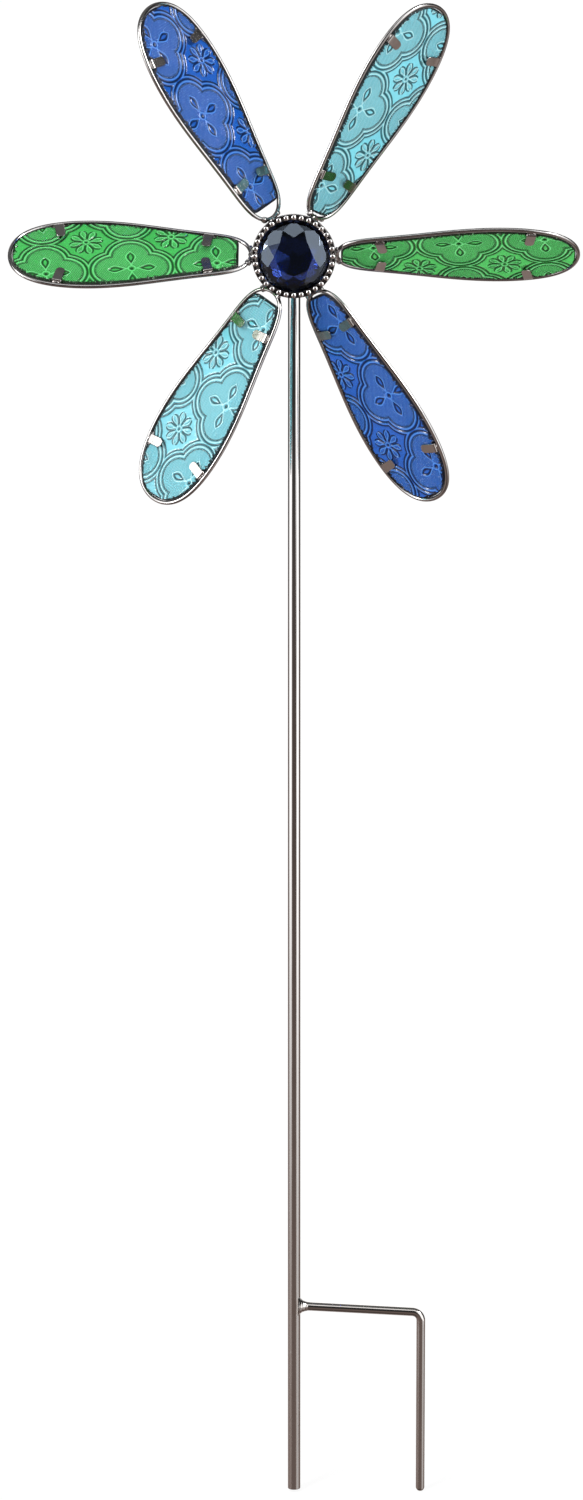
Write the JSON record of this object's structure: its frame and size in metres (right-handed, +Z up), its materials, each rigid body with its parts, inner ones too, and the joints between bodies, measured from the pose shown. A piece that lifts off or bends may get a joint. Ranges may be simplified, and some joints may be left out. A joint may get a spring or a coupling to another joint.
{
  "type": "garden wind spinner",
  "caption": "Step-in garden stake with a freely spinning flower wheel: pitched wire-framed glass petals round a faceted gem hub on a ball bearing.",
  "frame": {"origin": "on the pole's axis at ground level, at the underside of the step bar's outer end; everything below Z = 0 is pushed into the soil", "axes": "+Z up along the pole, -Y the way the wheel faces, +X from the pole towards the prong"},
  "size_m": [0.399, 0.0802, 1.0891],
  "materials": {
    "pole_metal": "dark nickel plate, warm towards the foot, with fine scuffs",
    "black_nickel": "glossy black nickel plate",
    "clip_metal": "satin black nickel plate on bent strip",
    "bearing_steel": "ground bearing steel",
    "zinc_steel": "zinc plated",
    "cage_nylon": "natural nylon",
    "green_glass": "pressed pattern glass, green",
    "aqua_glass": "pressed pattern glass, aqua",
    "blue_glass": "pressed pattern glass, cobalt blue",
    "gem_glass": "polished faceted glass, midnight blue, foiled back"
  },
  "bodies": {
    "stake": {"pole": "pole_metal", "pole_cap": "pole_metal", "prong": "pole_metal", "prong_weld": "pole_metal", "axle_bolt": "zinc_steel", "front_washer": "zinc_steel", "bearing_inner_ring": "bearing_steel", "spacer_sleeve": "zinc_steel", "rear_washer": "zinc_steel", "acorn_nut": "zinc_steel"},
    "wheel": {"bearing_outer_ring": "bearing_steel", "bezel": "black_nickel", "gem": "gem_glass", "hub_plate": "black_nickel", "petal_1_clip_hub_a": "clip_metal", "petal_1_clip_hub_b": "clip_metal", "petal_1_clip_tip_a": "clip_metal", "petal_1_clip_tip_b": "clip_metal", "petal_1_frame": "black_nickel", "petal_1_glass": "green_glass", "petal_2_clip_hub_a": "clip_metal", "petal_2_clip_hub_b": "clip_metal", "petal_2_clip_tip_a": "clip_metal", "petal_2_clip_tip_b": "clip_metal", "petal_2_frame": "black_nickel", "petal_2_glass": "aqua_glass", "petal_3_clip_hub_a": "clip_metal", "petal_3_clip_hub_b": "clip_metal", "petal_3_clip_tip_a": "clip_metal", "petal_3_clip_tip_b": "clip_metal", "petal_3_frame": "black_nickel", "petal_3_glass": "blue_glass", "petal_4_clip_hub_a": "clip_metal", "petal_4_clip_hub_b": "clip_metal", "petal_4_clip_tip_a": "clip_metal", "petal_4_clip_tip_b": "clip_metal", "petal_4_frame": "black_nickel", "petal_4_glass": "green_glass", "petal_5_clip_hub_a": "clip_metal", "petal_5_clip_hub_b": "clip_metal", "petal_5_clip_tip_a": "clip_metal", "petal_5_clip_tip_b": "clip_metal", "petal_5_frame": "black_nickel", "petal_5_glass": "aqua_glass", "petal_6_clip_hub_a": "clip_metal", "petal_6_clip_hub_b": "clip_metal", "petal_6_clip_tip_a": "clip_metal", "petal_6_clip_tip_b": "clip_metal", "petal_6_frame": "black_nickel", "petal_6_glass": "blue_glass", "snap_ring": "bearing_steel"},
    "ball_set": {"ball_cage": "cage_nylon", "ball_1": "bearing_steel", "ball_2": "bearing_steel", "ball_3": "bearing_steel", "ball_4": "bearing_steel", "ball_5": "bearing_steel", "ball_6": "bearing_steel", "ball_7": "bearing_steel"}
  },
  "joints": [
    {"name": "wheel_spin", "type": "hinge", "parent": "stake", "child": "wheel", "pos_m": [0, -0.038, 0.781], "axis": [0, -1, 0], "continuous": true},
    {"name": "ball_orbit", "type": "hinge", "parent": "stake", "child": "ball_set", "pos_m": [0, -0.038, 0.781], "axis": [0, -1, 0], "continuous": true}
  ],
  "couplings": [
    {"joint": "ball_orbit", "follows": "wheel_spin", "ratio": 0.64286}
  ]
}
